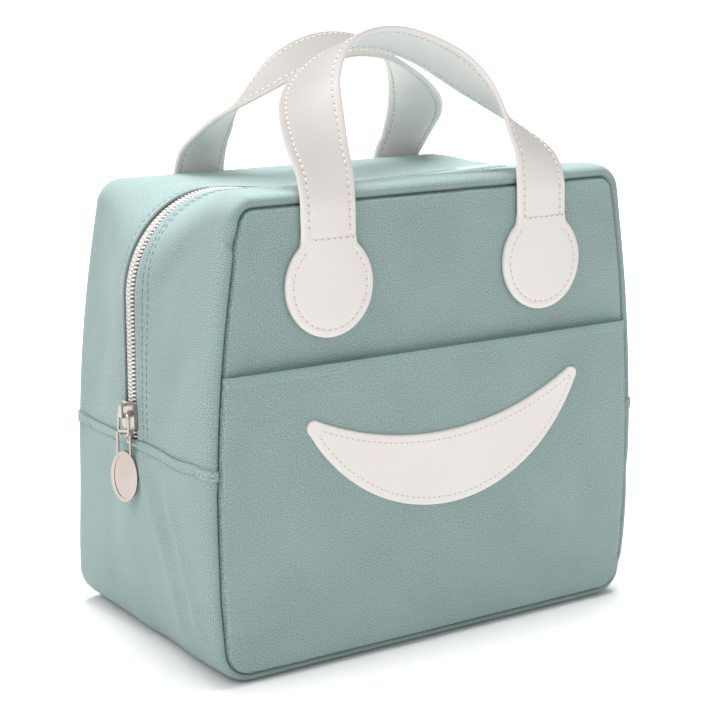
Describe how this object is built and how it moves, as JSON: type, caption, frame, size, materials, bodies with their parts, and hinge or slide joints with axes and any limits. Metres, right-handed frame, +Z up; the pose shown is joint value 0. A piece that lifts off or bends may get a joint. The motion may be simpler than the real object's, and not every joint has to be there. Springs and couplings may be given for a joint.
{
  "type": "insulated lunch bag",
  "caption": "Soft box-shaped insulated lunch bag with a zip over the top, a slip pocket with a crescent patch on the front and leather strap handles on round tabs.",
  "frame": {"origin": "middle of the flat foot, on the floor", "axes": "+Z up, -Y towards the front with the slip pocket, -X towards the side where the zip's slider is parked"},
  "size_m": [0.2459, 0.1468, 0.2776],
  "materials": {
    "canvas": "matt plain weave, grey sage green",
    "foam": "closed-cell foam sheet, hidden",
    "lining": "silver laminated film",
    "leather": "off-white coated leather, fine grain",
    "zip_tape": "white woven tape",
    "zip_teeth": "silver-white teeth",
    "nickel": "warm nickel plate, polished"
  },
  "bodies": {
    "bag_base": {"lower_gusset": "canvas", "lower_gusset_foam": "foam", "lower_lining": "lining", "front_panel_lower": "canvas", "back_panel_lower": "canvas", "front_foam_lower": "foam", "back_foam_lower": "foam", "front_gusset_ends": "canvas", "back_gusset_ends": "canvas", "front_gusset_foam_ends": "foam", "back_gusset_foam_ends": "foam", "front_pocket": "canvas", "crescent_patch": "leather", "zip_tape_ends": "zip_tape", "zip_teeth_ends": "zip_teeth", "zip_stops": "nickel"},
    "front_half": {"front_panel_upper": "canvas", "front_foam_upper": "foam", "front_gusset_upper": "canvas", "front_gusset_foam_upper": "foam", "front_lining_upper": "lining", "front_zip_tape": "zip_tape", "front_zip_teeth": "zip_teeth", "front_tab_left": "leather", "front_tab_right": "leather"},
    "back_half": {"back_panel_upper": "canvas", "back_foam_upper": "foam", "back_gusset_upper": "canvas", "back_gusset_foam_upper": "foam", "back_lining_upper": "lining", "back_zip_tape": "zip_tape", "back_zip_teeth": "zip_teeth", "back_tab_left": "leather", "back_tab_right": "leather"},
    "front_handle": {"front_strap": "leather", "front_strap_backing": "leather"},
    "back_handle": {"back_strap": "leather", "back_strap_backing": "leather"},
    "slider": {"slider_body": "nickel", "slider_bridge": "nickel"},
    "ring": {"pull_ring": "nickel"},
    "pull": {"pull_tab": "nickel"}
  },
  "joints": [
    {"name": "front_half_open", "type": "hinge", "parent": "bag_base", "child": "front_half", "pos_m": [0, -0.06862, 0.138], "axis": [1, 0, 0], "range_deg": [0, 30]},
    {"name": "back_half_open", "type": "hinge", "parent": "bag_base", "child": "back_half", "pos_m": [0, 0.06862, 0.138], "axis": [-1, 0, 0], "range_deg": [0, 30]},
    {"name": "front_handle_swing", "type": "hinge", "parent": "front_half", "child": "front_handle", "pos_m": [0, -0.07101, 0.189], "axis": [1, 0, 0], "range_deg": [0, 120]},
    {"name": "back_handle_swing", "type": "hinge", "parent": "back_half", "child": "back_handle", "pos_m": [0, 0.07101, 0.189], "axis": [-1, 0, 0], "range_deg": [0, 120]},
    {"name": "slider_slide", "type": "slide", "parent": "bag_base", "child": "slider", "axis": [0, 0, 1], "range_m": [0, 0.024]},
    {"name": "ring_swing", "type": "hinge", "parent": "slider", "child": "ring", "pos_m": [-0.1229, 0, 0.10795], "axis": [0, 1, 0], "range_deg": [0, 120]},
    {"name": "pull_swing", "type": "hinge", "parent": "ring", "child": "pull", "pos_m": [-0.1229, 0, 0.09845], "axis": [0, 1, 0], "range_deg": [0, 60]}
  ]
}
